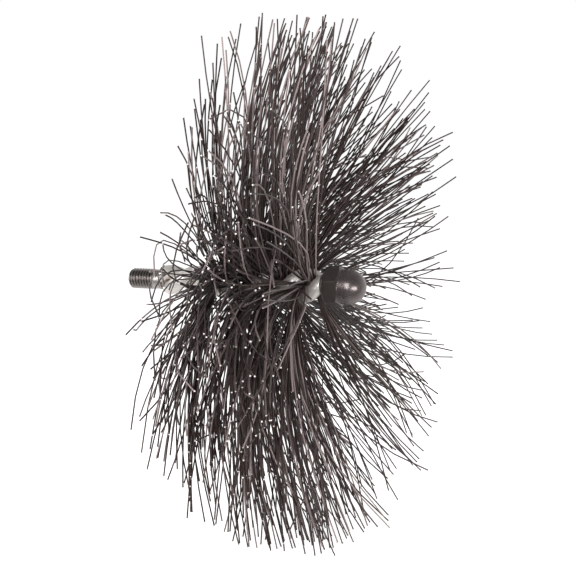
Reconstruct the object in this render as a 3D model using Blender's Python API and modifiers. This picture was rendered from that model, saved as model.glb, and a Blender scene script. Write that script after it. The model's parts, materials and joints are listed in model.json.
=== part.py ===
"""Threaded nylon flue brush: a twisted two-wire core with a plain rod stud at the rear, a domed cap nut at the
front and a wide round head of nylon bristles pinched between the wires.

World axes: X runs along the core from the rod stud to the cap nut, Z is up, and the brush stands on its bristle
tips at Z = 0, halfway between its two ends at X = 0. Places along the core are measured from the middle of the
bristle zone. All sizes are in metres.
"""

import math
import random

import bmesh
import bpy
from mathutils import Matrix, Vector

# Clearance between pieces that touch on the real brush
SEAT_GAP = 0.0003

# Core wires
WIRE_DIAMETER = 0.007
TWIST_PITCH = 0.0282
REAR_BARE_LENGTH = 0.0268
FRONT_BARE_LENGTH = 0.0037
TWIST_PHASE = math.radians(173.9)
TWIST_SENSE = -1.0
WIRE_POINTS_PER_TURN = 16
WIRE_OVERRUN = 0.006
PINCH_EASE_LENGTH = 0.006

# Bristle head
BRISTLE_LENGTH = 0.124
BRISTLE_DIAMETER = 0.0009
BRISTLE_ZONE_LENGTH = 0.052
BAND_PINCH_THICKNESS = 0.0014
BAND_EDGE_THICKNESS = 0.0044
BAND_FLARE_POWER = 4
BAND_HALF_WIDTH = 0.0064
STRAND_EMBED_DEPTH = 0.0005
STRAND_ROOT_STEP = 0.00115
FLAT_CUT_DEPTH = 0.0005
HEAD_LEAN = 0.0265
HEAD_SPREAD_SHARE = 0.73
END_FLARE_REACH = 0.005
ROW_COUNT = 8
FANS_PER_ROW = 7
STRANDS_PER_FAN = 3
ROW_END_MARGIN = 0.0005
BAND_LENGTHWISE_STEPS = 5
BAND_CROSSWISE_STEPS = 4
STRAND_SWIRL = math.radians(5.0)
AZIMUTH_SCATTER = math.radians(1.6)
SPREAD_SCATTER = 0.0016
LENGTH_SCATTER_SHARE = 0.035
FLOOR_EVEN_ANGLE = math.radians(14.0)
STRAND_BEND_SHARE = 0.45
FLARE_CURVE_POWER = 1.35
STRAND_SEED = 11

# Rod stud at the rear, M10
STUD_DIAMETER = 0.010
REAR_THREAD_LENGTH = 0.0136
REAR_SHANK_LENGTH = 0.0038
REAR_SHANK_DIAMETER = 0.0094
THREAD_CHAMFER = 0.0012

# Nut stud at the front, M10
FRONT_STUD_LENGTH = 0.0135

# Welds that join the studs to the wire ends
REAR_WELD_LENGTH = 0.001
REAR_WELD_WIDTH = 0.0018
FRONT_WELD_LENGTH = 0.0012
FRONT_WELD_WIDTH = 0.0013
WELD_CROWN_SHARE = 0.45

# Domed cap nut, M10
NUT_ACROSS_FLATS = 0.017
NUT_HEX_HEIGHT = 0.0068
NUT_HEIGHT = 0.018
NUT_DOME_DIAMETER = 0.016
NUT_BORE_DEPTH = 0.0145
NUT_CHAMFER_ANGLE = math.radians(30.0)
NUT_CHAMFER_START_SHARE = 0.985
NUT_COUNTERSINK = 0.0008
NUT_TURN = math.radians(-19.0)
THREAD_CLEARANCE = 0.0004

# How finely round shapes are divided, and how far a cutter passes a face
TURNED_STEPS = 24
DOME_ARC_STEPS = 6
WIRE_BEVEL_RESOLUTION = 2
CUT_OVERRUN = 0.002
SHARP_EDGE_ANGLE = math.radians(35.0)
CAP_WELD_DISTANCE = 0.000002
TURNED_MERGE_DISTANCE = 0.00001

# Sizes that follow from the ones above
ZONE_HALF = BRISTLE_ZONE_LENGTH / 2
WIRE_RADIUS = WIRE_DIAMETER / 2
BARE_HELIX_RADIUS = WIRE_RADIUS + SEAT_GAP / 2
PINCHED_HELIX_RADIUS = WIRE_RADIUS + BAND_PINCH_THICKNESS / 2 + SEAT_GAP
REAR_WIRE_END = -ZONE_HALF - REAR_BARE_LENGTH
FRONT_WIRE_END = ZONE_HALF + FRONT_BARE_LENGTH
STUD_RADIUS = STUD_DIAMETER / 2
NUT_SEAT = FRONT_WIRE_END + SEAT_GAP + FRONT_WELD_LENGTH + SEAT_GAP
STUD_END = REAR_WIRE_END - SEAT_GAP - REAR_SHANK_LENGTH - REAR_THREAD_LENGTH
ROW_LENGTH = BRISTLE_ZONE_LENGTH / ROW_COUNT
FAN_REACH = TWIST_PITCH / 2 / STRANDS_PER_FAN
SPREAD_HALF = ZONE_HALF + FAN_REACH
LEVEL_REACH = math.sqrt(BRISTLE_LENGTH ** 2 - HEAD_LEAN ** 2)
FRONT_TIP_REACH = HEAD_LEAN + SPREAD_HALF * HEAD_SPREAD_SHARE + END_FLARE_REACH
SECTION_RADIUS = math.pi * BRISTLE_DIAMETER / (3 * math.sqrt(3))


def clear_scene():
    for old in list(bpy.data.objects):
        bpy.data.objects.remove(old, do_unlink=True)


def new_collection(name):
    collection = bpy.data.collections.new(name)
    bpy.context.scene.collection.children.link(collection)
    return collection


def new_material(name, colour, roughness, metallic):
    material = bpy.data.materials.new(name)
    material.use_nodes = True
    shader = material.node_tree.nodes["Principled BSDF"]
    shader.inputs["Base Color"].default_value = (*colour, 1.0)
    shader.inputs["Roughness"].default_value = roughness
    shader.inputs["Metallic"].default_value = metallic
    material.diffuse_color = (*colour, 1.0)
    return material


def add_object(name, data, collection, parent=None, material=None):
    made = bpy.data.objects.new(name, data)
    collection.objects.link(made)
    made.parent = parent
    if material is not None:
        data.materials.append(material)
    return made


def as_cutter(helper):
    """Marks an object that only cuts or joins others."""
    helper.hide_render = True
    helper.display_type = "WIRE"
    return helper


def boolean(target, tool, operation):
    modifier = target.modifiers.new(f"{operation.lower()}_{tool.name}", "BOOLEAN")
    modifier.operation = operation
    modifier.object = tool


def turned(name, profile, collection, parent, material=None):
    """A solid of revolution about the core's axis: profile holds (radius, distance along +X), front to rear."""
    mesh = bpy.data.meshes.new(name)
    mesh.from_pydata([(radius, 0.0, along) for radius, along in profile],
                     [(i, i + 1) for i in range(len(profile) - 1)], [])
    solid = add_object(name, mesh, collection, parent, material)
    screw = solid.modifiers.new("turn", "SCREW")
    screw.steps = TURNED_STEPS
    screw.render_steps = TURNED_STEPS
    screw.use_merge_vertices = True
    screw.merge_threshold = TURNED_MERGE_DISTANCE
    solid.rotation_euler.y = math.pi / 2
    return solid


def closed_ring(profile):
    """A turned profile that returns to its first point, for a ring with a hole through it."""
    return [*profile, profile[0]]


def twist_angle(along):
    """Angle about the core's axis, from +Y towards +Z, of wire A at a distance along the core."""
    return TWIST_PHASE + TWIST_SENSE * math.tau * along / TWIST_PITCH


def helix_radius(along):
    """The wires lie closer together where no bristles part them."""
    beyond = (abs(along) - ZONE_HALF) / PINCH_EASE_LENGTH
    share = min(max(beyond, 0.0), 1.0)
    eased = share * share * (3 - 2 * share)
    return PINCHED_HELIX_RADIUS + eased * (BARE_HELIX_RADIUS - PINCHED_HELIX_RADIUS)


def around(radius, angle, along):
    """A point at a radius and angle about the core's axis."""
    return Vector((along, radius * math.cos(angle), radius * math.sin(angle)))


def replace_by_mesh(curve_object, collection, parent, material=None):
    """Swaps a curve object for the mesh of its tube, with the loose caps welded on, so that it can be cut."""
    graph = bpy.context.evaluated_depsgraph_get()
    mesh = bpy.data.meshes.new_from_object(curve_object.evaluated_get(graph))
    work = bmesh.new()
    work.from_mesh(mesh)
    bmesh.ops.remove_doubles(work, verts=work.verts, dist=CAP_WELD_DISTANCE)
    bmesh.ops.recalc_face_normals(work, faces=work.faces)
    work.to_mesh(mesh)
    work.free()
    name = curve_object.name
    place = curve_object.matrix_world.copy()
    bpy.data.objects.remove(curve_object, do_unlink=True)
    made = add_object(name, mesh, collection, parent, material)
    made.matrix_world = place
    return made


def cut_square(obj, along, keep_sign):
    """Saws the object square to the core and closes the face."""
    work = bmesh.new()
    work.from_mesh(obj.data)
    geometry = [*work.verts, *work.edges, *work.faces]
    cut = bmesh.ops.bisect_plane(work, geom=geometry, plane_co=(along, 0.0, 0.0),
                                 plane_no=(-keep_sign, 0.0, 0.0), clear_outer=True)
    rim = [edge for edge in cut["geom_cut"] if isinstance(edge, bmesh.types.BMEdge)]
    bmesh.ops.contextual_create(work, geom=rim)
    bmesh.ops.recalc_face_normals(work, faces=work.faces)
    work.to_mesh(obj.data)
    work.free()


def smooth(obj):
    obj.data.shade_smooth()
    obj.data.set_sharp_from_angle(angle=SHARP_EDGE_ANGLE)


def build_wire(name, half_turn, collection, parent, material):
    """One of the two core wires: a helix that is sawn square at both ends."""
    start = REAR_WIRE_END - WIRE_OVERRUN
    end = FRONT_WIRE_END + WIRE_OVERRUN
    count = round(WIRE_POINTS_PER_TURN * (end - start) / TWIST_PITCH)
    curve = bpy.data.curves.new(name, "CURVE")
    curve.dimensions = "3D"
    curve.bevel_depth = WIRE_RADIUS
    curve.bevel_resolution = WIRE_BEVEL_RESOLUTION
    curve.use_fill_caps = True
    spline = curve.splines.new("POLY")
    spline.points.add(count)
    for i, point in enumerate(spline.points):
        along = start + (end - start) * i / count
        angle = twist_angle(along) + half_turn
        point.co = (*around(helix_radius(along), angle, along), 1.0)
    tube = add_object(name, curve, collection, parent)
    wire = replace_by_mesh(tube, collection, parent, material)
    cut_square(wire, REAR_WIRE_END, 1.0)
    cut_square(wire, FRONT_WIRE_END, -1.0)
    smooth(wire)
    return wire


def build_rear_stud(collection, parent, material):
    """The plain shank and threaded end that a rod screws onto."""
    shank_radius = REAR_SHANK_DIAMETER / 2
    neck = STUD_RADIUS - shank_radius
    stud = turned("rear_stud", [
        (0.0, 0.0),
        (shank_radius, 0.0),
        (shank_radius, -REAR_SHANK_LENGTH + neck),
        (STUD_RADIUS, -REAR_SHANK_LENGTH),
        (STUD_RADIUS, -REAR_SHANK_LENGTH - REAR_THREAD_LENGTH + THREAD_CHAMFER),
        (STUD_RADIUS - THREAD_CHAMFER, -REAR_SHANK_LENGTH - REAR_THREAD_LENGTH),
        (0.0, -REAR_SHANK_LENGTH - REAR_THREAD_LENGTH),
    ], collection, parent, material)
    stud.location.x = REAR_WIRE_END - SEAT_GAP
    return stud


def build_front_stud(collection, parent, material):
    """The stud inside the cap nut."""
    stud = turned("front_stud", [
        (0.0, FRONT_STUD_LENGTH),
        (STUD_RADIUS - THREAD_CHAMFER, FRONT_STUD_LENGTH),
        (STUD_RADIUS, FRONT_STUD_LENGTH - THREAD_CHAMFER),
        (STUD_RADIUS, 0.0),
        (0.0, 0.0),
    ], collection, parent, material)
    stud.location.x = FRONT_WIRE_END + SEAT_GAP
    return stud


def build_weld(name, stud_radius, length, width, outward, collection, parent, material):
    """A ring of weld round a stud's foot, seated on the wire ends and rounded off towards the stud."""
    inner = stud_radius + SEAT_GAP
    shoulder = length * WELD_CROWN_SHARE
    profile = [
        (inner, length),
        (inner + width * WELD_CROWN_SHARE, length),
        (inner + width, shoulder),
        (inner + width, 0.0),
        (inner, 0.0),
    ]
    if outward < 0:
        profile = [(radius, -along) for radius, along in reversed(profile)]
    return turned(name, closed_ring(profile), collection, parent, material)


def dome_arc(radius, centre):
    """The quarter circle of the dome, from its tip down to its widest ring."""
    return [(radius * math.sin(math.pi / 2 * i / DOME_ARC_STEPS),
             centre + radius * math.cos(math.pi / 2 * i / DOME_ARC_STEPS))
            for i in range(DOME_ARC_STEPS + 1)]


def build_cap_nut(collection, cutters, parent, material):
    """Hexagon with chamfered corners, full dome and a blind bore. Its origin lies on its turning axis."""
    flat_radius = NUT_ACROSS_FLATS / 2
    corner_radius = flat_radius / math.cos(math.pi / 6)
    chamfer_radius = flat_radius * NUT_CHAMFER_START_SHARE
    chamfer_drop = (corner_radius - chamfer_radius) * math.tan(NUT_CHAMFER_ANGLE)
    wide_radius = corner_radius + CUT_OVERRUN
    wide_drop = (wide_radius - chamfer_radius) * math.tan(NUT_CHAMFER_ANGLE)

    mesh = bpy.data.meshes.new("cap_nut")
    work = bmesh.new()
    bmesh.ops.create_cone(work, cap_ends=True, segments=6, radius1=corner_radius,
                          radius2=corner_radius, depth=NUT_HEX_HEIGHT)
    bmesh.ops.translate(work, verts=work.verts, vec=(0.0, 0.0, NUT_HEX_HEIGHT / 2))
    work.to_mesh(mesh)
    work.free()
    nut = add_object("cap_nut", mesh, collection, parent, material)
    nut.rotation_euler.y = math.pi / 2

    envelope = as_cutter(turned("nut_corner_chamfers", [
        (0.0, NUT_HEX_HEIGHT + CUT_OVERRUN),
        (chamfer_radius - CUT_OVERRUN / math.tan(NUT_CHAMFER_ANGLE), NUT_HEX_HEIGHT + CUT_OVERRUN),
        (wide_radius, NUT_HEX_HEIGHT - wide_drop),
        (wide_radius, wide_drop),
        (chamfer_radius - CUT_OVERRUN / math.tan(NUT_CHAMFER_ANGLE), -CUT_OVERRUN),
        (0.0, -CUT_OVERRUN),
    ], cutters, parent))
    dome_radius = NUT_DOME_DIAMETER / 2
    dome = as_cutter(turned("nut_dome", [
        *dome_arc(dome_radius, NUT_HEIGHT - dome_radius),
        (dome_radius, NUT_HEX_HEIGHT - chamfer_drop - CUT_OVERRUN / 2),
        (0.0, NUT_HEX_HEIGHT - chamfer_drop - CUT_OVERRUN / 2),
    ], cutters, parent))
    bore_radius = STUD_RADIUS + THREAD_CLEARANCE
    bore = as_cutter(turned("nut_bore", [
        (0.0, NUT_BORE_DEPTH),
        (bore_radius, NUT_BORE_DEPTH),
        (bore_radius, NUT_COUNTERSINK),
        (bore_radius + NUT_COUNTERSINK, 0.0),
        (bore_radius + NUT_COUNTERSINK, -CUT_OVERRUN),
        (0.0, -CUT_OVERRUN),
    ], cutters, parent))
    boolean(nut, envelope, "INTERSECT")
    boolean(nut, dome, "UNION")
    boolean(nut, bore, "DIFFERENCE")
    return nut


def band_angle(along):
    """The bristles lie across the gap between the wires, square to the line that joins them."""
    return twist_angle(along) + math.pi / 2


def edge_square(radius, offset):
    """An offset square to the twisted line at a radius, as its parts along the core and round it."""
    lead = math.tau * radius / TWIST_PITCH
    run = math.hypot(1.0, lead)
    return offset * lead / run, -TWIST_SENSE * offset / run


def build_band(name, start, end, collection, parent, material):
    """The packed middles of one row's bristles: a twisted bar, waisted where the wires pinch it."""
    work = bmesh.new()
    bmesh.ops.create_cube(work, size=1.0)
    lengthwise = [edge for edge in work.edges if abs((edge.verts[0].co - edge.verts[1].co).x) > 0.5]
    bmesh.ops.subdivide_edges(work, edges=lengthwise, cuts=BAND_LENGTHWISE_STEPS - 1, use_grid_fill=True)
    crosswise = [edge for edge in work.edges if abs((edge.verts[0].co - edge.verts[1].co).y) > 0.5]
    bmesh.ops.subdivide_edges(work, edges=crosswise, cuts=BAND_CROSSWISE_STEPS - 1, use_grid_fill=True)
    for vert in work.verts:
        share, across, side = vert.co
        along = (start + end) / 2 + share * (end - start)
        width_share = abs(across) * 2
        flare = width_share ** BAND_FLARE_POWER
        thickness = BAND_PINCH_THICKNESS + flare * (BAND_EDGE_THICKNESS - BAND_PINCH_THICKNESS)
        radius = across * 2 * BAND_HALF_WIDTH
        forward, sideways = edge_square(radius, side * thickness)
        flat = Vector((along + forward, radius, sideways))
        vert.co = Matrix.Rotation(band_angle(along), 3, "X") @ flat
    mesh = bpy.data.meshes.new(name)
    bmesh.ops.recalc_face_normals(work, faces=work.faces)
    work.to_mesh(mesh)
    work.free()
    return add_object(name, mesh, collection, parent, material)


def spread_at_tip(root_along):
    """Where a bristle's tip lies along the core: the head opens out, more so at its ends, and leans forward."""
    share = root_along / SPREAD_HALF
    return HEAD_LEAN + root_along * HEAD_SPREAD_SHARE + END_FLARE_REACH * share ** 3


def turn_from_down(angle):
    """How far an angle about the core is from straight down, without its sign."""
    return abs((angle + math.pi / 2 + math.pi) % math.tau - math.pi)


def strand_points(along, arm, place, chance):
    """Root, bend and tip of one bristle, in the fan that leaves the band's edge at a distance along the core."""
    angle = band_angle(along) + arm * math.pi
    tip_angle = angle + STRAND_SWIRL + chance.uniform(-AZIMUTH_SCATTER, AZIMUTH_SCATTER)
    tip_along = spread_at_tip(along + place * FAN_REACH) + chance.uniform(-SPREAD_SCATTER, SPREAD_SCATTER)

    # The fan's bristles stand side by side, square to the twisted edge that they leave
    forward, sideways = edge_square(BAND_HALF_WIDTH, place * STRAND_ROOT_STEP)
    root_along = along + forward
    root_radius = BAND_HALF_WIDTH - STRAND_EMBED_DEPTH

    # Tips that carry the brush end level, and the others where their own lengths take them
    length = BRISTLE_LENGTH * (1.0 - LENGTH_SCATTER_SHARE * chance.random())
    free_reach = math.sqrt(length ** 2 - (tip_along - root_along) ** 2)
    level = 1.0 - min(turn_from_down(tip_angle) / FLOOR_EVEN_ANGLE, 1.0)
    reach = free_reach + (LEVEL_REACH - free_reach) * level
    points = []
    for share in (0.0, STRAND_BEND_SHARE, 1.0):
        turn = angle + (tip_angle - angle) * share ** 2
        run = root_along + (tip_along - root_along) * share ** FLARE_CURVE_POWER
        aside = Vector((0.0, -math.sin(turn), math.cos(turn))) * sideways
        points.append(around(root_radius + (reach - root_radius) * share, turn, run) + aside)
    return points


def row_start(row):
    return -ZONE_HALF + ROW_LENGTH * row


def strand_rows():
    """The points of every bristle, row by row."""
    chance = random.Random(STRAND_SEED)
    step = (ROW_LENGTH - 2 * ROW_END_MARGIN) / (FANS_PER_ROW - 1)
    rows = []
    for row in range(ROW_COUNT):
        paths = []
        for fan in range(FANS_PER_ROW):
            along = row_start(row) + ROW_END_MARGIN + step * fan
            for arm in (0, 1):
                for strand in range(STRANDS_PER_FAN):
                    paths.append(strand_points(along, arm, strand - (STRANDS_PER_FAN - 1) / 2, chance))
        rows.append(paths)
    return rows


def triangle_section(cutters):
    """The three-sided section that every bristle is drawn with, as far around as the round one."""
    curve = bpy.data.curves.new("bristle_section", "CURVE")
    curve.dimensions = "2D"
    spline = curve.splines.new("POLY")
    spline.points.add(2)
    spline.use_cyclic_u = True
    for i, point in enumerate(spline.points):
        turn = math.tau * i / 3
        point.co = (SECTION_RADIUS * math.cos(turn), SECTION_RADIUS * math.sin(turn), 0.0, 1.0)
    return as_cutter(add_object("bristle_section", curve, cutters))


def trim_at_floor(mesh, axis_height):
    """Cuts the tips flat where the brush stands on them."""
    work = bmesh.new()
    work.from_mesh(mesh)
    geometry = [*work.verts, *work.edges, *work.faces]
    cut = bmesh.ops.bisect_plane(work, geom=geometry, plane_co=(0.0, 0.0, -axis_height),
                                 plane_no=(0.0, 0.0, -1.0), clear_outer=True)
    rim = [edge for edge in cut["geom_cut"] if isinstance(edge, bmesh.types.BMEdge)]
    if rim:
        bmesh.ops.holes_fill(work, edges=rim, sides=0)
    bmesh.ops.recalc_face_normals(work, faces=work.faces)
    work.to_mesh(mesh)
    work.free()


def build_strands(name, paths, section, axis_height, cutters, parent):
    """The bristles of one row, on both sides of the core."""
    curve = bpy.data.curves.new(name, "CURVE")
    curve.dimensions = "3D"
    curve.bevel_mode = "OBJECT"
    curve.bevel_object = section
    curve.use_fill_caps = True
    for path in paths:
        spline = curve.splines.new("POLY")
        spline.points.add(len(path) - 1)
        for point, co in zip(spline.points, path):
            point.co = (*co, 1.0)
    tubes = add_object(name, curve, cutters, parent)
    strands = replace_by_mesh(tubes, cutters, parent)
    trim_at_floor(strands.data, axis_height)
    return as_cutter(strands)


def build_rows(rows, axis_height, collection, cutters, parent, material):
    """The bristle head, as rows that follow one another along the twist."""
    section = triangle_section(cutters)
    for row, paths in enumerate(rows):
        first = row_start(row) + (SEAT_GAP / 2 if row else 0.0)
        last = row_start(row + 1) - (SEAT_GAP / 2 if row < ROW_COUNT - 1 else 0.0)
        band = build_band(f"bristle_row_{row + 1}", first, last, collection, parent, material)
        strands = build_strands(f"row_{row + 1}_strands", paths, section, axis_height, cutters, parent)
        boolean(band, strands, "UNION")


def build_brush():
    clear_scene()
    parts = new_collection("threaded_nylon_brush")
    cutters = new_collection("cutters")
    steel_wire = new_material("bright_steel_wire", (0.60, 0.58, 0.56), 0.32, 1.0)
    stud_steel = new_material("zinc_plated_steel", (0.52, 0.50, 0.48), 0.35, 1.0)
    weld_steel = new_material("weld_metal", (0.35, 0.33, 0.31), 0.55, 1.0)
    nut_steel = new_material("blackened_steel", (0.09, 0.08, 0.08), 0.28, 1.0)
    nylon = new_material("dark_brown_nylon", (0.022, 0.017, 0.015), 0.38, 0.0)

    rows = strand_rows()
    lowest = min(point.z for paths in rows for path in paths for point in path)
    axis_height = -lowest - FLAT_CUT_DEPTH
    core = add_object("core_axis", None, parts)
    core.location = (-(STUD_END + FRONT_TIP_REACH) / 2, 0.0, axis_height)
    nut_axis = add_object("cap_nut_axis", None, parts, core)
    nut_axis.location.x = NUT_SEAT
    nut_axis.rotation_euler.x = NUT_TURN

    build_wire("wire_strand_a", 0.0, parts, core, steel_wire)
    build_wire("wire_strand_b", math.pi, parts, core, steel_wire)
    build_rear_stud(parts, core, stud_steel)
    build_front_stud(parts, core, stud_steel)
    rear_weld = build_weld("rear_weld", REAR_SHANK_DIAMETER / 2, REAR_WELD_LENGTH, REAR_WELD_WIDTH, -1,
                           parts, core, weld_steel)
    rear_weld.location.x = REAR_WIRE_END - SEAT_GAP
    front_weld = build_weld("front_weld", STUD_RADIUS, FRONT_WELD_LENGTH, FRONT_WELD_WIDTH, 1,
                            parts, core, weld_steel)
    front_weld.location.x = FRONT_WIRE_END + SEAT_GAP
    build_cap_nut(parts, cutters, nut_axis, nut_steel)
    build_rows(rows, axis_height, parts, cutters, core, nylon)


build_brush()
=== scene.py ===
import json
import math

import bmesh
import bpy
import numpy as np
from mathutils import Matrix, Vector

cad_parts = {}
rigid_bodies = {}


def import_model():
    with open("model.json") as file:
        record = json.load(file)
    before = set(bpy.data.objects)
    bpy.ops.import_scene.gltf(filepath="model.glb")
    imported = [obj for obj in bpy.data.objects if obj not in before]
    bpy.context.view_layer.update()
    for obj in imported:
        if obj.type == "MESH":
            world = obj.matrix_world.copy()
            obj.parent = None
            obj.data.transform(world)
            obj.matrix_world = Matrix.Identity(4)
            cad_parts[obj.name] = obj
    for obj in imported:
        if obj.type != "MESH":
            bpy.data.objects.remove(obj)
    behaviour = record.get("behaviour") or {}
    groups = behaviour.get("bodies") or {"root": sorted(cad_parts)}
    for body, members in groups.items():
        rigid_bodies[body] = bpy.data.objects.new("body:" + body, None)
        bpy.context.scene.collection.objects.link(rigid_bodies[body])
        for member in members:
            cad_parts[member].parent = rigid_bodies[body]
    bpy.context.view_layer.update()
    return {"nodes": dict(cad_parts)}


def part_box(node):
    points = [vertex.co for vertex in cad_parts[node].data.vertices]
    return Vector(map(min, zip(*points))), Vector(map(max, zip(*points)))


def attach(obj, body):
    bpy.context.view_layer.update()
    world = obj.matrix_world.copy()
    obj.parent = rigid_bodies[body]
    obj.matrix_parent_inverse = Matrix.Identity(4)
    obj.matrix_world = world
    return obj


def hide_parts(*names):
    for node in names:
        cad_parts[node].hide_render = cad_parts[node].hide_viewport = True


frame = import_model()

bl_info = {
    "name": "Flue Brush",
    "version": (1, 0, 0),
    "blender": (4, 5, 0),
    "location": "View3D > Sidebar > Flue Brush",
    "description": "Models a threaded nylon flue brush round its packed frame",
    "category": "Object",
}

MM = 0.001

# Boxes of the frame, and the core's axis in it
STUD_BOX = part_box("rear_stud")
WIRE_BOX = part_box("wire_strand_a")
NUT_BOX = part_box("cap_nut")
AXIS_Z = (STUD_BOX[0].z + STUD_BOX[1].z) / 2

# Ends of the wires and half the bristle zone, from the zone's middle, and that middle's place in the frame
FRONT_WIRE_END = 29.7 * MM
REAR_WIRE_END = -52.8 * MM
ZONE_X = WIRE_BOX[1].x - FRONT_WIRE_END
ZONE_HALF = 26.0 * MM

# The twist, as in the solids: left-handed, with the wires eased together where no bristles part them
TWIST_PHASE = math.radians(173.9)
PINCHED_HELIX_RADIUS = 4.5 * MM
BARE_HELIX_RADIUS = 3.65 * MM
PINCH_EASE_LENGTH = 6.0 * MM
WIRE_STEPS_PER_TURN = 36
WIRE_OVERRUN = 4.0 * MM
WIRE_BEVEL_RESOLUTION = 6

# Bristle head: the tips lean towards the nut. The fan fits the head's outline between 0.85 and 1.08.
HEAD_LEAN = 26.0 * MM
HEAD_FAN = 0.95
BRISTLE_LENGTH = 124.0 * MM
FURTHEST_TIP = 65.5 * MM
NEAREST_TIP = -10.0 * MM
LEAST_LEAN = -10.0 * MM
ROOT_RADIUS = 1.4 * MM
FLOOR_CLEARANCE = 0.75 * MM
ROW_COUNT = 8
BRISTLE_SEED = 7
# Share of cut ends painted near white, as highlights
HIGHLIGHTED_END_SHARE = 0.7

# One filament: the shares of its length where it has points, the powers of that share by which it moves
# along and round the core, and its thickness at the root, just before its end and at its burr
FILAMENT_SIDES = 6
FILAMENT_SHARES = (0.0, 0.07, 0.18, 0.31, 0.45, 0.6, 0.74, 0.87, 0.9925, 1.0)
FILAMENT_THICKNESS = (1.0, 1.02, 1.1)
ALONG_POWER = 1.7
ROUND_POWER = 1.6
LARGEST_BOW = 15.0 * MM
MOST_SKEW = 0.45
SKEW_SCATTER = 0.25

# Where the bristles crowd round the core, listed after seeing a fit of the head's tones: the
# crowd's middle and half width (degrees from +Y towards +Z), how far ahead its tips lie (mm), and how
# much denser the head is there
BRISTLE_CROWDS = (
    (-165, 35, 0, 0.8),
    (35, 15, 14, 0.7),
    (-30, 15, 3, 0.3),
    (-95, 30, 8, 0.1),
    (100, 20, -12, 0.0),
)
PLAIN_DENSITY = 0.65
REAR_DENSITY = 1.0
MIDDLE_DENSITY = 1.3
FRONT_DENSITY = 0.75

# The head parts above the core on the near side
PARTING_AZIMUTH = math.radians(113.0)
PARTING_HALF_ANGLE = math.radians(18.0)
PARTING_MIDDLE = 15.0 * MM
PARTING_HALF = 9.5 * MM

# Full-length bristles at even steps round the core, which draw the head's outline. Listed after
# seeing where the photographed tips lie: azimuth (degrees), and the nearest and furthest place of the
# tips along the core (mm)
OUTLINE_COUNT = 112
OUTLINE_PROFILE = (
    (-180, -8, 8),
    (-135, -4, 18),
    (-90, 20, 45),
    (-45, 42, 58),
    (0, 40, 62),
    (45, 38, 60),
    (90, 12, 48),
    (135, 8, 25),
    (180, -8, 8),
)
TIP_REACH = 121.2 * MM
OUTLINE_WANDER = 0.2
OUTLINE_ROOT_WANDER = 0.7
OUTLINE_BOW = 0.7
# Pale tones are painted highlights of lit strands, given only to outline filaments facing the camera or up
# and near
OUTLINE_HIGHLIGHT_SHARE = 0.5
OUTLINE_HIGHLIGHT_TONES = (0.7, 1.0)
OUTLINE_DARK_TONES = (0.0, 0.45)

# Tufts of filaments that bend alike, single filaments in them, and strays. A wander or a bow is a share of
# the setting of that name. Short filaments lose a share of their length, and long ones a little.
FILAMENTS_PER_TUFT = 7.5
TUFT_PLACES = (0.1, 0.9)
TUFT_ROOT_MM = 1.3
TUFT_ALONG = 4.2 * MM
TUFT_BOW = 0.8
FILAMENT_ALONG = 3.4 * MM
FILAMENT_WANDER = 0.55
FILAMENT_BOW = 0.35
STRAY_SHARE = 0.13
STRAY_ALONG = 9.0 * MM
STRAY_WANDER = 2.0
STRAY_BOW = 1.2
SHORT_SHARE = 0.3
SHORT_LOSSES = (0.06, 0.3)
LONG_LOSS_SCATTER = 0.05
MOST_LONG_LOSS = 0.15

# Filaments that face the camera bow more, and those and the ones up and near more often take pale tones,
# painted highlights of lit strands
VIEWER_AZIMUTH = math.radians(174.0)
VIEWER_COSINE = 0.78
UP_NEAR_AZIMUTH = math.radians(125.0)
UP_NEAR_COSINE = 0.9
LOOSE = 1.2
LOOSEST = 2.6
LOOSEST_SHARE = 0.25
# Pale tones are painted highlights of lit strands
HIGHLIGHT_SHARE = 0.2
FACING_HIGHLIGHT_SHARE = 0.32
HIGHLIGHT_TONES = (0.6, 1.0)
DARK_TONE_POWER = 1.4
PALEST_DARK_TONE = 0.6

# M10 x 1.5 thread
THREAD_PITCH = 1.5 * MM
STUD_RADIUS = 5.0 * MM
THREAD_ROOT_RADIUS = 4.08 * MM
THREAD_STEPS = 40
THREAD_OVERRUN = 1.5 * THREAD_PITCH
REAR_THREAD_LENGTH = 13.6 * MM
REAR_SHANK_RADIUS = 4.7 * MM
FRONT_SHANK_LENGTH = 1.0 * MM
STUD_CHAMFER = 1.0 * MM
THREAD_PROFILE = ((0.0, 0.0), (0.06, 0.0), (0.19, 0.26), (0.34, 0.62), (0.44, 0.94), (0.5, 1.0), (0.56, 1.0),
                  (0.62, 0.94), (0.72, 0.62), (0.87, 0.26))

# Rear weld bead: how far it reaches behind and ahead of the wires' ends, its foot on the shank, its skin
# over the wires and how far that sinks as the bead dies away, with shares of the bead's length
WELD_BEHIND = 1.3 * MM
WELD_AHEAD = 3.4 * MM
WELD_FOOT_RADIUS = 4.8 * MM
WELD_SKIN_MM = 0.25
WELD_SINK_MM = 2.6
WELD_SINK_POWER = 1.5
WELD_RISE_SHARE = 0.34
WELD_FADE_FROM = 0.4
WELD_EDGE_SHARE = 0.1
WELD_FINE_MM = 0.07
WELD_COARSE_MM = 0.05
WELD_STEPS = 72
WELD_CUTS = 13

# Front weld bead: its gap round the stud, its slope and its ripples
FRONT_WELD_GAP = 0.2 * MM
FRONT_WELD_STEPS = 8
FRONT_WELD_POWER = 2.2
FRONT_RIPPLE = 0.08 * MM
FRONT_RIPPLE_FROM = 0.1 * MM
FRONT_RIPPLE_COUNT = 13

# Domed cap nut, M10
NUT_HEX_HEIGHT = 6.8 * MM
NUT_CHAMFER_SHARE = 0.985
NUT_CHAMFER_ANGLE = math.radians(30.0)
NUT_BORE_RADIUS = 5.4 * MM
NUT_BORE_DEPTH = 14.5 * MM
NUT_STEPS = 144
NUT_ARC_STEPS = 24
NUT_CORNER_BREAK = 0.1 * MM
NUT_COUNTERSINK = 0.8 * MM
NUT_DOME_RADIUS = 8.0 * MM
NUT_DOME_FOOT = 0.1 * MM

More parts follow.
